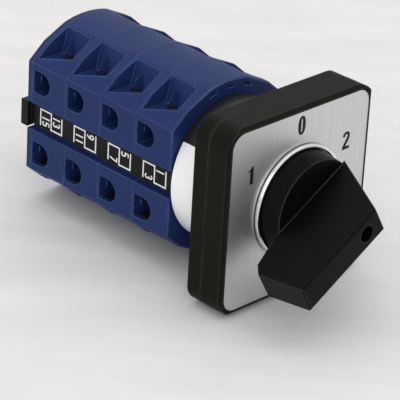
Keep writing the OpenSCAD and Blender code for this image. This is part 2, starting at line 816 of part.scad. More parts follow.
module knob() color(plate_black) difference() {
    union() {
        rod_y(knob_base_y, knob_foot_y, knob_front_r, knob_foot_r);
        rod_y(knob_foot_y - cut, hub_end_y, hub_r);
        rotate([0, turn_angle / 2, 0]) translate([0, knob_base_y, 0]) intersection() {
            translate([-grip_t, 0, 0]) rotate([90, 0, 90]) linear_extrude(2 * grip_t)
                polygon([for (p = grip_outline()) [-p[1], p[0]]]);
            translate([0, 0, -2 * grip_tail]) linear_extrude(4 * grip_tail)
                mirror([0, 1, 0]) grip_end_view();
        }
    }
    square_bore(spindle_front_y, hub_end_y + cut);
    rod_y(grip_front_y - cut, screw_seat_y, knob_hole_r);
    rod_y(grip_front_y, spindle_front_y + cut, knob_screw_r + seat);
}

// Two raised beads on a thin washer round the foot of the knob
module bright_ring() color(dial_silver) translate([0, knob_foot_y, 0]) rotate([90, 0, 0])
    rotate_extrude() {
        bead = ring_t / 2;
        inner = knob_foot_r + seat;
        translate([inner, 0]) square([ring_r - inner - bead, bead]);
        for (x = [inner + bead, ring_r - bead]) {
            translate([x, bead]) circle(bead);
            translate([x - bead, 0]) square([2 * bead, bead]);
        }
    }

module knob_screw() color(steel) difference() {
    union() {
        rod_y(screw_seat_y - knob_screw_head_h, screw_seat_y, knob_hole_r - seat);
        rod_y(screw_seat_y - seat, spindle_front_y + knob_screw_grip, knob_screw_r);
    }
    block([-knob_hole_r - cut, screw_seat_y - knob_screw_head_h - cut, -slot_w / 2],
        [knob_hole_r + cut, screw_seat_y - knob_screw_head_h + slot_d, slot_w / 2]);
}

rear_plate();
front_frame();
dial_plate();
latch_housing();
stop_plate();
neck_label();
contact_section(0);  // contact_section_1
contact_section(1);  // contact_section_2
contact_section(2);  // contact_section_3
contact_section(3);  // contact_section_4
end_cover();
tie_bolts();
plate_screws();
marking_strip(-1);  // marking_strip_left
marking_strip(1);  // marking_strip_right
fixed_contacts(0);  // fixed_contacts_1
fixed_contacts(1);  // fixed_contacts_2
fixed_contacts(2);  // fixed_contacts_3
fixed_contacts(3);  // fixed_contacts_4
terminal_screws();
wire_clamps();
detent_spring(true);  // detent_spring_upper
detent_spring(false);  // detent_spring_lower
contact_spring(0, true);  // contact_spring_1_upper
contact_spring(0, false);  // contact_spring_1_lower
contact_spring(1, true);  // contact_spring_2_upper
contact_spring(1, false);  // contact_spring_2_lower
contact_spring(2, true);  // contact_spring_3_upper
contact_spring(2, false);  // contact_spring_3_lower
contact_spring(3, true);  // contact_spring_4_upper
contact_spring(3, false);  // contact_spring_4_lower
knob();
bright_ring();
knob_screw();
spindle();
star_wheel();
stop_disc();
cam(0);  // cam_1
cam(1);  // cam_2
cam(2);  // cam_3
cam(3);  // cam_4
detent_plunger(true);  // detent_plunger_upper
detent_plunger(false);  // detent_plunger_lower
plunger(0, true);  // plunger_1_upper
plunger(0, false);  // plunger_1_lower
plunger(1, true);  // plunger_2_upper
plunger(1, false);  // plunger_2_lower
plunger(2, true);  // plunger_3_upper
plunger(2, false);  // plunger_3_lower
plunger(3, true);  // plunger_4_upper
plunger(3, false);  // plunger_4_lower
contact_bridge(0, true);  // contact_bridge_1_upper
contact_bridge(0, false);  // contact_bridge_1_lower
contact_bridge(1, true);  // contact_bridge_2_upper
contact_bridge(1, false);  // contact_bridge_2_lower
contact_bridge(2, true);  // contact_bridge_3_upper
contact_bridge(2, false);  // contact_bridge_3_lower
contact_bridge(3, true);  // contact_bridge_4_upper
contact_bridge(3, false);  // contact_bridge_4_lower
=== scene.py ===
import bmesh
import bpy
import math
from mathutils import Matrix, Vector


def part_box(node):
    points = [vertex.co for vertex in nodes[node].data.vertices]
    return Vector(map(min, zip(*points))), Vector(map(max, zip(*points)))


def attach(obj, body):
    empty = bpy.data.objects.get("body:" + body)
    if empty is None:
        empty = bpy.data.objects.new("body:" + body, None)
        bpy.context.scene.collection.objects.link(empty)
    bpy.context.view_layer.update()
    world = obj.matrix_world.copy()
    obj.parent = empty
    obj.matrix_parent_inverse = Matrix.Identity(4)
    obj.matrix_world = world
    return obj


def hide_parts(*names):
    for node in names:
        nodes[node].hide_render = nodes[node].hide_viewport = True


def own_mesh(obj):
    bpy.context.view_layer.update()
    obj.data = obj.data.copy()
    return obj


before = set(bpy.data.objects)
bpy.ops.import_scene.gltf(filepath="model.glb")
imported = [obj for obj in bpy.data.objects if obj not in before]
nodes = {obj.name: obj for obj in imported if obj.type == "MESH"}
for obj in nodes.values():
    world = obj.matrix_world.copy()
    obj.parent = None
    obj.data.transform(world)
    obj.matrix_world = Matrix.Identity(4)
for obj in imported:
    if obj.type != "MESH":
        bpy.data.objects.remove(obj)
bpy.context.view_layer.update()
scene = bpy.context.scene
scene.view_settings.view_transform = "Standard"


# The camera stands to the left of the knob and a little above it, far off with
# a long lens, as the photograph's own camera did.
def aim_camera(azimuth, elevation, roll, distance, target, lens):
    a, e, r = (math.radians(v) for v in (azimuth, elevation, roll))
    back = Vector((math.sin(a) * math.cos(e), -math.cos(a) * math.cos(e), math.sin(e)))
    right = Vector((0, 0, 1)).cross(back).normalized()
    up = back.cross(right)
    turned = right * math.cos(r) + up * math.sin(r)
    over = up * math.cos(r) - right * math.sin(r)
    data = bpy.data.cameras.new("photo_view")
    data.lens = lens
    data.sensor_width = 36
    data.clip_start, data.clip_end = 0.01, 20
    view = bpy.data.objects.new("photo_view", data)
    place = Matrix((turned, over, back)).transposed().to_4x4()
    place.translation = Vector(target) + back * distance
    view.matrix_world = place
    scene.collection.objects.link(view)
    scene.camera = view


view_azimuth, view_height, view_roll = -45.78, 26.63, 3.31
view_distance, view_target, long_lens = 0.612, (-0.02375, -0.00237, 0.00405), 240
aim_camera(view_azimuth, view_height, view_roll, view_distance, view_target, long_lens)


# A pale cloth lies on the table under the switch, its colour and bump in long soft
# streaks that lie across the view. The switch rests on its front plates and on the
# rear of its sections.
mm = 0.001


def new_material(name, colour, roughness, metallic=0.0):
    mat = bpy.data.materials.new(name)
    mat.use_nodes = True
    shader = mat.node_tree.nodes["Principled BSDF"]
    shader.inputs["Base Color"].default_value = (*colour, 1)
    shader.inputs["Roughness"].default_value = roughness
    shader.inputs["Metallic"].default_value = metallic
    return mat, mat.node_tree, shader


def stretched_noise(tree, stretch, scale, detail=3.0, turn=0.0):
    coords = tree.nodes.new("ShaderNodeTexCoord")
    turned = tree.nodes.new("ShaderNodeVectorRotate")
    turned.rotation_type = "Z_AXIS"
    turned.inputs["Angle"].default_value = turn
    mapping = tree.nodes.new("ShaderNodeMapping")
    mapping.inputs["Scale"].default_value = stretch
    noise = tree.nodes.new("ShaderNodeTexNoise")
    noise.inputs["Scale"].default_value = scale
    noise.inputs["Detail"].default_value = detail
    tree.links.new(coords.outputs["Object"], turned.inputs["Vector"])
    tree.links.new(turned.outputs["Vector"], mapping.inputs["Vector"])
    tree.links.new(mapping.outputs["Vector"], noise.inputs["Vector"])
    return noise.outputs["Fac"]


def two_colours(tree, factor, low, high, dark, light):
    ramp = tree.nodes.new("ShaderNodeValToRGB")
    ramp.color_ramp.elements[0].position, ramp.color_ramp.elements[1].position = low, high
    ramp.color_ramp.elements[0].color = (*dark, 1)
    ramp.color_ramp.elements[1].color = (*light, 1)
    tree.links.new(factor, ramp.inputs["Fac"])
    return ramp.outputs["Color"]


def bump_from(tree, shader, height, distance):
    bump = tree.nodes.new("ShaderNodeBump")
    bump.inputs["Distance"].default_value = distance
    tree.links.new(height, bump.inputs["Height"])
    tree.links.new(bump.outputs["Normal"], shader.inputs["Normal"])


front_drop, rear_drop, between_drops = 24.3 * mm, 22.8 * mm, 68 * mm
front_foot = 4 * mm
cloth_lean = (front_drop - rear_drop) / between_drops
cloth = bpy.data.meshes.new("cloth")
cloth_reach = 3.0
corners = [(x, y, -front_drop + cloth_lean * (y + front_foot))
           for x, y in ((-cloth_reach, -cloth_reach), (cloth_reach, -cloth_reach),
                        (cloth_reach, cloth_reach), (-cloth_reach, cloth_reach))]
cloth.from_pydata(corners, [], [(0, 1, 2, 3)])
cloth_obj = bpy.data.objects.new("cloth", cloth)
scene.collection.objects.link(cloth_obj)
cloth_mat, tree, shader = new_material("pale_cloth", (0.74, 0.73, 0.71), 0.9)
streak_stretch, streak_scale, streak_detail = (0.26, 1.0, 1.0), 95.0, 2.5
streak_turn = -math.radians(view_azimuth)
cloth_dark, cloth_light = (0.715, 0.71, 0.70), (0.775, 0.765, 0.75)
streaks = stretched_noise(tree, streak_stretch, streak_scale, streak_detail, streak_turn)
tree.links.new(two_colours(tree, streaks, 0.3, 0.7, cloth_dark, cloth_light),
               shader.inputs["Base Color"])
bump_from(tree, shader, streaks, 0.45 * mm)
cloth.materials.append(cloth_mat)


# One large soft box lights the switch from above and one from the front left, and
# the pale room fills in the rest.
def soft_box(name, place, size, power, aim=(0, 0.02, 0), colour=(1, 1, 1)):
    data = bpy.data.lights.new(name, "AREA")
    data.shape = "RECTANGLE"
    data.size, data.size_y = size
    data.energy = power
    data.color = colour
    lamp = bpy.data.objects.new(name, data)
    lamp.location = place
    lamp.rotation_euler = (Vector(place) - Vector(aim)).to_track_quat("Z", "Y").to_euler()
    scene.collection.objects.link(lamp)


soft_box("window", place=(0.25, 0.15, 0.95), size=(1.7, 1.7), power=4.95,
         colour=(1.0, 0.985, 0.96))
soft_box("front_fill", place=(-0.85, -0.65, 0.55), size=(1.3, 0.9), power=3.75)
room = bpy.data.worlds.new("room")
room.use_nodes = True
room.node_tree.nodes["Background"].inputs["Color"].default_value = (0.985, 0.99, 1.0, 1)
room.node_tree.nodes["Background"].inputs["Strength"].default_value = 0.80
scene.world = room


# The contact sections and the end cover are moulded in deep blue plastic with a
# fine satin grain, edges that are a little rounded with a paler line of painted
# highlight along them, partly rubbed wear, and specks of dust.
def make_moulded_group():
    group = bpy.data.node_groups.new("moulded_surface", "ShaderNodeTree")
    face = group.interface
    for name, value in (("Grain Scale", 4000.0), ("Roughness", 0.45), ("Edge", 0.3 * mm),
                        ("Grain Height", 0.01 * mm), ("Highlight And Wear Amount", 1.0), ("Dust", 0.35)):
        number = face.new_socket(name=name, in_out="INPUT", socket_type="NodeSocketFloat")
        number.default_value = value
    for name in ("Base", "Highlight And Wear"):
        face.new_socket(name=name, in_out="INPUT", socket_type="NodeSocketColor")
    face.new_socket(name="Color", in_out="OUTPUT", socket_type="NodeSocketColor")
    face.new_socket(name="Roughness", in_out="OUTPUT", socket_type="NodeSocketFloat")
    face.new_socket(name="Normal", in_out="OUTPUT", socket_type="NodeSocketVector")
    n, link = group.nodes, group.links.new
    inp, out = n.new("NodeGroupInput"), n.new("NodeGroupOutput")
    coords = n.new("ShaderNodeTexCoord")

    def noise(scale, detail):
        made = n.new("ShaderNodeTexNoise")
        made.inputs["Scale"].default_value = scale
        made.inputs["Detail"].default_value = detail
        link(coords.outputs["Object"], made.inputs["Vector"])
        return made

    def combined(operation, first, second):
        made = n.new("ShaderNodeMath")
        made.operation = operation
        for socket, value in ((0, first), (1, second)):
            if isinstance(value, float):
                made.inputs[socket].default_value = value
            else:
                link(value, made.inputs[socket])
        return made.outputs["Value"]

    def blend_colour(factor, first, second):
        made = n.new("ShaderNodeMix")
        made.data_type = "RGBA"
        link(factor, made.inputs["Factor"])
        link(first, made.inputs["A"])
        link(second, made.inputs["B"])
        return made.outputs["Result"]

    def spread(value, low, high):
        made = n.new("ShaderNodeMapRange")
        made.inputs["From Min"].default_value = low
        made.inputs["From Max"].default_value = high
        link(value, made.inputs["Value"])
        return made.outputs["Result"]

    cloud_scale, speck_scale, dusty_patch_scale, rough_spread = 90.0, 420.0, 160.0, 0.14
    grain = noise(1.0, 4.0)
    link(inp.outputs["Grain Scale"], grain.inputs["Scale"])
    cloudy = noise(cloud_scale, 3.0).outputs["Fac"]
    # painted highlight along the edges, partly rubbed wear, shows as a paler line, here and there
    # broken
    edge = n.new("ShaderNodeBevel")
    edge.samples = 6
    link(inp.outputs["Edge"], edge.inputs["Radius"])
    geo = n.new("ShaderNodeNewGeometry")
    bend = n.new("ShaderNodeVectorMath")
    bend.operation = "DOT_PRODUCT"
    link(edge.outputs["Normal"], bend.inputs[0])
    link(geo.outputs["True Normal"], bend.inputs[1])
    highlight_and_wear_mask = combined("MULTIPLY", spread(bend.outputs["Value"], 0.99, 0.92),
                      spread(cloudy, 0.2, 0.6))
    highlight_and_wear_mask = combined("MULTIPLY", highlight_and_wear_mask, inp.outputs["Highlight And Wear Amount"])
    tone = blend_colour(highlight_and_wear_mask, inp.outputs["Base"], inp.outputs["Highlight And Wear"])
    # dust lies in single specks
    specks = n.new("ShaderNodeTexVoronoi")
    specks.inputs["Scale"].default_value = speck_scale
    link(coords.outputs["Object"], specks.inputs["Vector"])
    dusty = combined("MULTIPLY", spread(specks.outputs["Distance"], 0.045, 0.02),
                     spread(noise(dusty_patch_scale, 2.0).outputs["Fac"], 0.56, 0.62))
    dusty = combined("MULTIPLY", dusty, inp.outputs["Dust"])
    pale = n.new("ShaderNodeMixRGB")
    pale.inputs["Color2"].default_value = (0.5, 0.5, 0.5, 1)
    link(dusty, pale.inputs["Fac"])
    link(tone, pale.inputs["Color1"])
    link(pale.outputs["Color"], out.inputs["Color"])
    rough = combined("MULTIPLY", cloudy, rough_spread)
    link(combined("ADD", rough, inp.outputs["Roughness"]), out.inputs["Roughness"])
    bump = n.new("ShaderNodeBump")
    link(inp.outputs["Grain Height"], bump.inputs["Distance"])
    link(grain.outputs["Fac"], bump.inputs["Height"])
    link(edge.outputs["Normal"], bump.inputs["Normal"])
    link(bump.outputs["Normal"], out.inputs["Normal"])
    return group


moulded = make_moulded_group()


# the paler colour given second is painted highlight along rounded edges, partly rubbed wear
def moulded_material(name, colour, highlight_and_wear, roughness, edge=0.3 * mm, grain=4000.0,
                     height=0.01 * mm, gloss=0.5, highlight_and_wear_amount=1.0, dust=0.35):
    mat, tree, shader = new_material(name, colour, roughness)
    shader.inputs["Specular IOR Level"].default_value = gloss
    surface = tree.nodes.new("ShaderNodeGroup")
    surface.node_tree = moulded
    surface.inputs["Base"].default_value = (*colour, 1)
    surface.inputs["Highlight And Wear"].default_value = (*highlight_and_wear, 1)
    for label, value in (("Roughness", roughness), ("Edge", edge), ("Grain Scale", grain),
                         ("Grain Height", height), ("Highlight And Wear Amount", highlight_and_wear_amount), ("Dust", dust)):
        surface.inputs[label].default_value = value
    tree.links.new(surface.outputs["Color"], shader.inputs["Base Color"])
    tree.links.new(surface.outputs["Roughness"], shader.inputs["Roughness"])
    tree.links.new(surface.outputs["Normal"], shader.inputs["Normal"])
    return mat


def finish_node(name, mat):
    for s in nodes[name].material_slots:
        s.material = mat


# the paler blue given second is painted highlight along the edges, partly rubbed wear
blue = moulded_material("blue_housing", (0.013, 0.028, 0.115), (0.13, 0.19, 0.42), 0.42,
                        edge=0.22 * mm, gloss=0.14, highlight_and_wear_amount=0.95)
for name in ("contact_section_1", "contact_section_2", "contact_section_3",
             "contact_section_4", "end_cover"):
    finish_node(name, blue)


# The mounting plate, the front frame and the latch housing are moulded in black
# plastic that looks faintly brown in the light.
# the paler colour given second is painted highlight along the edges, partly rubbed wear
black = moulded_material("black_housing", (0.007, 0.008, 0.005), (0.075, 0.075, 0.065), 0.40,
                         edge=0.25 * mm, gloss=0.06)
for name in ("rear_plate", "front_frame", "latch_housing"):
    finish_node(name, black)


# The knob is smooth black plastic, a little glossier than the housings. A plated
# steel screw sits deep in its grip and holds it on the square spindle.
# the paler colour given second is painted highlight along the grip's edges, partly rubbed wear
knob_black = moulded_material("knob_plastic", (0.003, 0.003, 0.0027), (0.05, 0.05, 0.045), 0.30,
                              edge=0.5 * mm, grain=2500.0, gloss=0.07)
finish_node("knob", knob_black)


def metal_material(name, colour, roughness, stretch, scale, height, darker=0.8):
    mat, tree, shader = new_material(name, colour, roughness, 1.0)
    lines = stretched_noise(tree, stretch, scale, 4.0)
    shade = tuple(v * darker for v in colour)
    tree.links.new(two_colours(tree, lines, 0.3, 0.7, shade, colour), shader.inputs["Base Color"])
    bump_from(tree, shader, lines, height)
    return mat


plated = metal_material("plated_steel", (0.55, 0.55, 0.56), 0.32, (1, 1, 1), 900, 0.01 * mm)
for name in ("knob_screw", "tie_bolts", "plate_screws", "spindle"):
    finish_node(name, plated)


# The dial is a thin metal plate in a shallow bed of the frame. It is finely
# brushed upright, so its sheen runs from side to side.
dial_metal = metal_material("brushed_dial", (0.69, 0.69, 0.70), 0.42, (1, 1, 0.02), 5200,
                            0.0012 * mm, 0.93)
finish_node("dial_plate", dial_metal)


# The numerals of the three positions are printed in black on the dial. Each one
# is a thin flat layer: a band along a path, or a single outline.
def ribbon(path, width, closed=False):
    """Flat band along a path, as corners and faces; width is one value or one per point."""
    n, pairs = len(path), []
    widths = width if isinstance(width, (list, tuple)) else [width] * n
    for i, point in enumerate(path):
        before = path[i - 1] if i or closed else point
        after = path[(i + 1) % n] if i < n - 1 or closed else point
        along = (Vector(after) - Vector(before)).normalized()
        side = Vector((-along.y, along.x)) * widths[i] / 2
        pairs += [Vector(point) + side, Vector(point) - side]
    steps = n if closed else n - 1
    faces = [(2 * i, 2 * i + 1, (2 * i + 3) % (2 * n), (2 * i + 2) % (2 * n))
             for i in range(steps)]
    return pairs, faces


def raise_flat(name, bands, place, lift, body, mat):
    """Thin printed layer: 2D bands set on a surface by place.

    Each band is a little thicker than the last, so that no two tops share a plane.
    """
    extra_per_band = 0.25
    points, faces = [], []
    for layer, (pairs, quads) in enumerate(bands):
        base = len(points)
        points += [place(q, 0.0) for q in pairs]
        points += [place(q, lift * (1 + extra_per_band * layer)) for q in pairs]
        m = len(pairs)
        for quad in quads:
            faces.append(tuple(base + m + corner for corner in quad))
            faces.append(tuple(base + corner for corner in reversed(quad)))
        sides = [e for quad in quads for e in zip(quad, quad[1:] + quad[:1])]
        for a, b in sides:
            if (b, a) not in sides:
                faces.append((base + a, base + b, base + m + b, base + m + a))
    mesh = bpy.data.meshes.new(name)
    mesh.from_pydata([tuple(v) for v in points], [], faces)
    work = bmesh.new()
    work.from_mesh(mesh)
    bmesh.ops.recalc_face_normals(work, faces=work.faces)
    work.to_mesh(mesh)
    work.free()
    mesh.materials.append(mat)
    obj = bpy.data.objects.new(name, mesh)
    scene.collection.objects.link(obj)
    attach(obj, body)
    return obj


ink_lift = 0.02 * mm
dial_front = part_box("dial_plate")[0][1]


def arc(rx, rz, cz, start, end, steps=15):
    turns = [math.radians(start + (end - start) * i / steps) for i in range(steps + 1)]
    return [(rx * math.cos(t), cz + rz * math.sin(t)) for t in turns]


def outline(points):
    """One flat face with these corners, in millimetres, as a band for raise_flat."""
    return [Vector(q) * mm for q in points], [tuple(range(len(points)))]


zero_steps = 40
zero_turns = [math.tau * (i + 0.5) / zero_steps for i in range(zero_steps)]
zero = [(0.72 * mm * math.copysign(abs(math.cos(t)) ** 0.7, math.cos(t)),
         2.05 * mm * math.copysign(abs(math.sin(t)) ** 0.8, math.sin(t))) for t in zero_turns]
zero_widths = [(0.68 + 0.34 * math.cos(t) ** 2) * mm for t in zero_turns]
one = [(0.6, -2.25), (0.6, 2.25), (-0.02, 2.25), (-0.2, 1.85), (-0.6, 1.5), (-0.95, 1.38),
       (-0.95, 0.95), (-0.4, 1.1), (-0.4, -2.25)]
two = (arc(1.2, 1.15, 1.15, 180, 0)
       + [(1.12, 0.62), (0.9, 0.1), (0.42, -0.66), (-0.16, -1.55), (1.2, -1.55), (1.2, -2.3),
          (-1.25, -2.3), (-1.25, -1.62), (-0.32, -0.2), (0.12, 0.5), (0.33, 0.95)]
       + arc(0.38, 0.42, 1.2, 0, 180) + [(-0.38, 1.0), (-1.2, 1.0)])
ink, tree, shader = new_material("black_ink", (0.012, 0.012, 0.014), 0.4)
shader.inputs["Specular IOR Level"].default_value = 0.15
ink_grain = stretched_noise(tree, (1, 1, 1), 3000)
ink_dark, ink_light = (0.004, 0.004, 0.005), (0.012, 0.012, 0.014)
tree.links.new(two_colours(tree, ink_grain, 0.3, 0.7, ink_dark, ink_light),
               shader.inputs["Base Color"])
for name, (pairs, quads), (cx, cz) in (
        ("dial_zero", ribbon(zero, zero_widths, True), (-0.2 * mm, 19.3 * mm)),
        ("dial_one", outline(one), (-16.1 * mm, 11.2 * mm)),
        ("dial_two", outline(two), (15.7 * mm, 10.8 * mm))):
    raise_flat(name, [([q + Vector((cx, cz)) for q in pairs], quads)],
               lambda q, h: Vector((q.x, dial_front - h, q.y)), ink_lift, "switch_body", ink)


# A bright chromed ring with two beads goes round the foot of the knob and turns
# with it. Its polish is nearly free of scratches.
chrome = metal_material("bright_chrome", (0.92, 0.92, 0.94), 0.12, (1, 1, 1), 300, 0.001 * mm)
finish_node("bright_ring", chrome)


# Terminals: brass strips, plated cheese-head screws with a slot, and steel clamps.
# A screw is turned from the bar, its head is chamfered and its slot is milled.
brass = metal_material("contact_brass", (0.50, 0.36, 0.18), 0.30, (1, 1, 1), 700, 0.01 * mm)
nickel = metal_material("nickel_screw", (0.55, 0.53, 0.48), 0.22, (1, 1, 1), 900, 0.01 * mm)
clamp = metal_material("clamp_steel", (0.20, 0.20, 0.20), 0.40, (1, 1, 1), 900, 0.01 * mm)
for name in nodes:
    if name.startswith(("fixed_contacts", "contact_bridge")):
        finish_node(name, brass)
finish_node("wire_clamps", clamp)


def repeat_tree(name):
    """Geometry Nodes tree that repeats the host mesh in a row along Y."""
    tree = bpy.data.node_groups.new(name, "GeometryNodeTree")
    face = tree.interface
    face.new_socket(name="Geometry", in_out="INPUT", socket_type="NodeSocketGeometry")
    for label, kind in (("Count", "NodeSocketInt"), ("Pitch", "NodeSocketFloat"),
                        ("Finish", "NodeSocketMaterial")):
        face.new_socket(name=label, in_out="INPUT", socket_type=kind)
    face.new_socket(name="Geometry", in_out="OUTPUT", socket_type="NodeSocketGeometry")
    n, link = tree.nodes, tree.links.new
    inp, out = n.new("NodeGroupInput"), n.new("NodeGroupOutput")
    step = n.new("ShaderNodeCombineXYZ")
    link(inp.outputs["Pitch"], step.inputs["Y"])
    row = n.new("GeometryNodeMeshLine")
    link(inp.outputs["Count"], row.inputs["Count"])
    link(step.outputs["Vector"], row.inputs["Offset"])
    copies = n.new("GeometryNodeInstanceOnPoints")
    link(row.outputs["Mesh"], copies.inputs["Points"])
    link(inp.outputs["Geometry"], copies.inputs["Instance"])
    real = n.new("GeometryNodeRealizeInstances")
    link(copies.outputs["Instances"], real.inputs["Geometry"])
    dress = n.new("GeometryNodeSetMaterial")
    link(real.outputs["Geometry"], dress.inputs["Geometry"])
    link(inp.outputs["Finish"], dress.inputs["Material"])
    link(dress.outputs["Geometry"], out.inputs["Geometry"])
    return tree


along_switch = repeat_tree("repeat_along_switch")
section_count, section_pitch = 4, 12.3 * mm


def plain_mesh(host, name):
    """What a host object's modifiers make, as a mesh of its own; the host goes."""
    ready = host.evaluated_get(bpy.context.evaluated_depsgraph_get())
    plain = bpy.data.meshes.new_from_object(ready)
    plain.name = name
    bpy.data.objects.remove(host)
    return plain


def repeated(name, mesh, mat, body):
    host = bpy.data.objects.new(name + "_host", mesh)
    scene.collection.objects.link(host)
    mod = host.modifiers.new("row", "NODES")
    mod.node_group = along_switch
    sockets = {i.name: i.identifier for i in along_switch.interface.items_tree
               if i.in_out == "INPUT"}
    mod[sockets["Count"]] = section_count
    mod[sockets["Pitch"]] = section_pitch
    mod[sockets["Finish"]] = mat
    obj = bpy.data.objects.new(name, plain_mesh(host, name))
    scene.collection.objects.link(obj)
    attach(obj, body)
    return obj


def turned_screw(profile, steps=36):
    """Solid of revolution about Z, from its lowest ring up."""
    work = bmesh.new()
    rings = []
    for r, z in profile:
        rings.append([work.verts.new((r * math.cos(math.tau * (i + 0.5) / steps),
                                      r * math.sin(math.tau * (i + 0.5) / steps), z))
                      for i in range(steps)])
    for low, high in zip(rings, rings[1:]):
        for i in range(steps):
            work.faces.new((low[i], low[(i + 1) % steps], high[(i + 1) % steps], high[i]))
    work.faces.new(list(reversed(rings[0])))
    work.faces.new(rings[-1])
    bmesh.ops.recalc_face_normals(work, faces=work.faces)
    mesh = bpy.data.meshes.new("turned_screw")
    work.to_mesh(mesh)
    work.free()
    return mesh


terminal_x, contact_y = 10 * mm, 8.85 * mm
sections_y = 13.2 * mm
head_r, head_top, head_h, shank_r = 1.55 * mm, 14.49 * mm, 1.0 * mm, 1.25 * mm
screw_foot = 6.7 * mm
chamfer, undercut, point = 0.14 * mm, 0.06 * mm, 0.25 * mm
slot_w, slot_d = 0.7 * mm, 0.8 * mm
turn_by_side, turn_by_row = 25, 10
shape = [(shank_r - point, screw_foot), (shank_r, screw_foot + point),
         (shank_r, head_top - head_h), (head_r - undercut, head_top - head_h),
         (head_r, head_top - head_h + undercut), (head_r, head_top - chamfer),
         (head_r - 0.4 * chamfer, head_top - 0.4 * chamfer), (head_r - chamfer, head_top),
         (0.5 * head_r, head_top)]
blank = bpy.data.objects.new("screw_blank", turned_screw(shape))
scene.collection.objects.link(blank)
mill = bmesh.new()
bmesh.ops.create_cube(mill, size=1.0)
bmesh.ops.scale(mill, vec=(4 * head_r, slot_w, 2 * slot_d), verts=mill.verts)
bmesh.ops.translate(mill, vec=(0, 0, head_top), verts=mill.verts)
mill_mesh = bpy.data.meshes.new("slot_mill")
mill.to_mesh(mill_mesh)
mill.free()
mill_obj = bpy.data.objects.new("slot_mill", mill_mesh)
scene.collection.objects.link(mill_obj)
slot_cut = blank.modifiers.new("slot", "BOOLEAN")
slot_cut.operation, slot_cut.solver, slot_cut.object = "DIFFERENCE", "EXACT", mill_obj
screw = plain_mesh(blank, "slotted_screw")
bpy.data.objects.remove(mill_obj)
four = bmesh.new()
for sx in (-1, 1):
    for sz in (-1, 1):
        one_screw = screw.copy()
        slot_turn = math.radians(turn_by_side * sx + turn_by_row * sz)
        place = Matrix.Translation((sx * terminal_x, sections_y + contact_y, 0)) \
            @ Matrix.Rotation(0 if sz > 0 else math.pi, 4, "Y") \
            @ Matrix.Rotation(slot_turn, 4, "Z")
        one_screw.transform(place)
        four.from_mesh(one_screw)
        bpy.data.meshes.remove(one_screw)
four_mesh = bpy.data.meshes.new("four_screws")
four.to_mesh(four_mesh)
four.free()
terminal_screws = repeated("slotted_terminal_screws", four_mesh, nickel, "switch_body")
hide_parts("terminal_screws")


# Small compression springs of drawn steel wire stand behind the bridges and the
# detent plungers. The detent and lower contact springs each get a mesh of their own.
def coil_tree(name):
    """Geometry Nodes tree that winds a spring up along Z from the origin."""
    tree = bpy.data.node_groups.new(name, "GeometryNodeTree")
    face = tree.interface
    face.new_socket(name="Geometry", in_out="INPUT", socket_type="NodeSocketGeometry")
    for label, kind in (("Turns", "NodeSocketFloat"), ("Radius", "NodeSocketFloat"),
                        ("Length", "NodeSocketFloat"), ("Wire Radius", "NodeSocketFloat"),
                        ("Finish", "NodeSocketMaterial")):
        face.new_socket(name=label, in_out="INPUT", socket_type=kind)
    face.new_socket(name="Geometry", in_out="OUTPUT", socket_type="NodeSocketGeometry")
    n, link = tree.nodes, tree.links.new
    inp, out = n.new("NodeGroupInput"), n.new("NodeGroupOutput")
    winding = n.new("GeometryNodeCurveSpiral")
    steps_per_turn, wire_sides = 20, 10
    winding.inputs["Resolution"].default_value = steps_per_turn
    link(inp.outputs["Turns"], winding.inputs["Rotations"])
    link(inp.outputs["Radius"], winding.inputs["Start Radius"])
    link(inp.outputs["Radius"], winding.inputs["End Radius"])
    link(inp.outputs["Length"], winding.inputs["Height"])
    section = n.new("GeometryNodeCurvePrimitiveCircle")
    section.inputs["Resolution"].default_value = wire_sides
    link(inp.outputs["Wire Radius"], section.inputs["Radius"])
    drawn = n.new("GeometryNodeCurveToMesh")
    drawn.inputs["Fill Caps"].default_value = True
    link(winding.outputs["Curve"], drawn.inputs["Curve"])
    link(section.outputs["Curve"], drawn.inputs["Profile Curve"])
    real = n.new("GeometryNodeRealizeInstances")
    link(drawn.outputs["Mesh"], real.inputs["Geometry"])
    dress = n.new("GeometryNodeSetMaterial")
    link(real.outputs["Geometry"], dress.inputs["Geometry"])
    link(inp.outputs["Finish"], dress.inputs["Material"])
    link(dress.outputs["Geometry"], out.inputs["Geometry"])
    return tree


coil = coil_tree("wound_spring")
wire = metal_material("spring_wire", (0.50, 0.50, 0.52), 0.30, (1, 1, 8), 600, 0.01 * mm)
wire_r, spring_turns = 0.2 * mm, 4.75
for name in sorted(n for n in nodes if "_spring_" in n):
    low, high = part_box(name)
    host = bpy.data.objects.new(name + "_host", bpy.data.meshes.new(name + "_host"))
    scene.collection.objects.link(host)
    mod = host.modifiers.new("coil", "NODES")
    mod.node_group = coil
    sockets = {i.name: i.identifier for i in coil.interface.items_tree if i.in_out == "INPUT"}
    for label, value in (("Turns", spring_turns), ("Radius", (high.x - low.x) / 2 - wire_r),
                         ("Length", high.z - low.z - 2 * wire_r), ("Wire Radius", wire_r),
                         ("Finish", wire)):
        mod[sockets[label]] = value
    mesh = plain_mesh(host, f"wound_{name}")
    foot = ((low.x + high.x) / 2, (low.y + high.y) / 2, low.z + wire_r)
    mesh.transform(Matrix.Translation(foot))
    spring = bpy.data.objects.new(f"wound_{name}", mesh)
    scene.collection.objects.link(spring)
    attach(spring, "switch_body")
    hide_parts(name)
    upper = name.endswith("upper")
    kind, rest_of_name = name.split("_spring_")
    if kind == "detent" or not upper:
        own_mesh(spring)


# Inside, the contact plungers and the stop plate are white nylon. The cams, the
# star wheel, the stop disc and the detent plungers are red nylon.
# the paler colours given second are painted highlight along the edges, partly rubbed wear
nylon = moulded_material("white_nylon", (0.70, 0.68, 0.62), (0.8, 0.78, 0.72), 0.45, dust=0.0)
red = moulded_material("red_nylon", (0.40, 0.07, 0.05), (0.5, 0.15, 0.1), 0.4, dust=0.0)
for name in nodes:
    if name.startswith("plunger") or name == "stop_plate":
        finish_node(name, nylon)
    elif name.startswith(("cam_", "star_", "stop_disc", "detent_plunger")):
        finish_node(name, red)


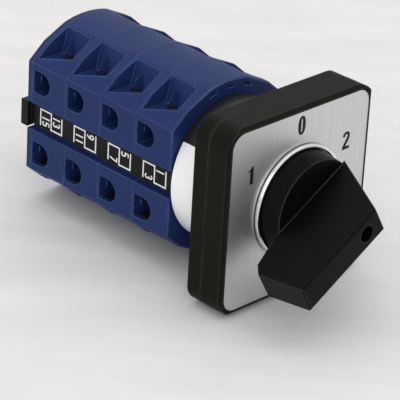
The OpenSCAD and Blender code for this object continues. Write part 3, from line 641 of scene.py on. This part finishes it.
# A printed band goes round the latch housing. It is black, with one white field
# on its left side that reaches from above the middle to below it.
band_mat, tree, shader = new_material("printed_band", (0.012, 0.012, 0.012), 0.35)
coords = tree.nodes.new("ShaderNodeTexCoord")
split = tree.nodes.new("ShaderNodeSeparateXYZ")
angle = tree.nodes.new("ShaderNodeMath")
angle.operation = "ARCTAN2"
tree.links.new(coords.outputs["Object"], split.inputs["Vector"])
tree.links.new(split.outputs["X"], angle.inputs[0])
tree.links.new(split.outputs["Z"], angle.inputs[1])
field = tree.nodes.new("ShaderNodeMath")
field.operation = "COMPARE"
field_middle, field_half = math.radians(-97.3), math.radians(42.8)
field.inputs[1].default_value = field_middle
field.inputs[2].default_value = field_half
tree.links.new(angle.outputs["Value"], field.inputs[0])
tree.links.new(two_colours(tree, field.outputs["Value"], 0.45, 0.55, (0.010, 0.010, 0.010),
                           (0.93, 0.94, 0.94)), shader.inputs["Base Color"])
finish_node("neck_label", band_mat)


# The marking strips are black plastic. One lies in the groove on each side of the
# sections and hooks over the end cover.
# the paler colour given second is painted highlight along the edges, partly rubbed wear
strip_black = moulded_material("strip_plastic", (0.006, 0.006, 0.006), (0.03, 0.03, 0.03), 0.35,
                               gloss=0.13)
for name in ("marking_strip_left", "marking_strip_right"):
    finish_node(name, strip_black)


# White boxes in pairs are printed on the strips, a pair for each section, with
# the terminals' numbers beside them, odd on the left and even on the right.
print_white, tree, shader = new_material("white_print", (0.85, 0.86, 0.86), 0.5)
print_grain = stretched_noise(tree, (1, 1, 1), 2500)
print_dark, print_light = (0.72, 0.73, 0.74), (0.88, 0.89, 0.89)
tree.links.new(two_colours(tree, print_grain, 0.25, 0.6, print_dark, print_light),
               shader.inputs["Base Color"])
cell, half, line = 3.9 * mm, 2.17 * mm, 0.4 * mm
pair_rear = 23.57 * mm
strip_skin = 17.05 * mm
digit_half_w, digit_half_h = 0.5 * mm, 1.14 * mm
digit_line, digit_gap = 0.38 * mm, 0.45 * mm
digit_step = 2 * digit_half_w + digit_gap
oval_corners = 24


def oval(rx, rz, cz):
    return arc(rx, rz, cz, 0, 360 - 360 / oval_corners, oval_corners - 1)


def digit_strokes(digit):
    """Pen strokes of a digit, about -1 to 1 each way; the second value closes the stroke."""
    strokes = {
        "0": [(oval(1, 1, 0), True)],
        "1": [([(0, -1.15), (0, 1.15)], False)],
        "2": [(arc(1, 0.5, 0.5, 170, -30) + [(-0.85, -0.9)], False),
              ([(-1.2, -1), (1.2, -1)], False)],
        "3": [(arc(0.9, 0.48, 0.5, 160, -90), False), (arc(1, 0.52, -0.48, 90, -160), False)],
        "4": [([(0.3, 1.1), (-1, -0.35), (1.2, -0.35)], False),
              ([(0.45, -1.15), (0.45, 1.15)], False)],
        "5": [([(1, 1), (-0.7, 1), (-0.85, 0.0)], False), (arc(1, 0.6, -0.4, 140, -150), False)],
        "6": [(oval(0.95, 0.55, -0.45), True),
              ([(0.8, 0.95), (0.2, 0.9), (-0.45, 0.55), (-0.85, 0.0), (-0.95, -0.45)], False)],
        "7": [([(-1.2, 1), (1.1, 1)], False), ([(0.95, 0.95), (-0.3, -1.15)], False)],
        "8": [(oval(0.85, 0.48, 0.52), True), (oval(1, 0.52, -0.48), True)]}
    if digit == "9":
        return [([(-x, -z) for x, z in path], closed) for path, closed in strokes["6"]]
    return strokes[digit]


for side in (-1, 1):
    left = side < 0
    name = "left" if left else "right"
    skin = side * strip_skin

    def on_strip(q, h, side=side, skin=skin):
        return Vector((skin + side * h, q.x, q.y))

    rear, mid, front = pair_rear, pair_rear - cell, pair_rear - 2 * cell
    bands = [ribbon(path, line) for path in (
        [(rear, -half), (rear, half)], [(mid, -half), (mid, half)], [(front, -half), (front, half)],
        [(rear + line / 2, half), (mid - line / 2, half)],
        [(mid + line / 2, -half), (front - line / 2, -half)])]
    box_pair = raise_flat(f"box_pair_{name}", bands, on_strip, ink_lift, "switch_body",
                          print_white)
    pair = box_pair.data.copy()
    bpy.data.objects.remove(box_pair)
    repeated(f"marking_boxes_{name}", pair, print_white, "switch_body")
    for k in range(section_count):
        for cell_no in (0, 1):
            number = 4 * k + (3 if cell_no == 0 else 1) + (0 if left else 1)
            centre_y = pair_rear + k * section_pitch - (cell_no + 0.5) * cell
            digits = str(number)
            # a number reads downwards; it hangs from the top of the front box and
            # ends at the foot of the rear one
            start = half - digit_half_w - digit_line if cell_no \
                else -half + digit_half_w + digit_line + (len(digits) - 1) * digit_step
            bands = []
            for i, digit in enumerate(digits):
                for path, closed in digit_strokes(digit):
                    placed = [(centre_y + side * z * digit_half_h,
                               start - i * digit_step - x * digit_half_w) for x, z in path]
                    bands.append(ribbon(placed, digit_line, closed))
            raise_flat(f"terminal_number_{number}", bands, on_strip, ink_lift, "switch_body",
                       print_white)
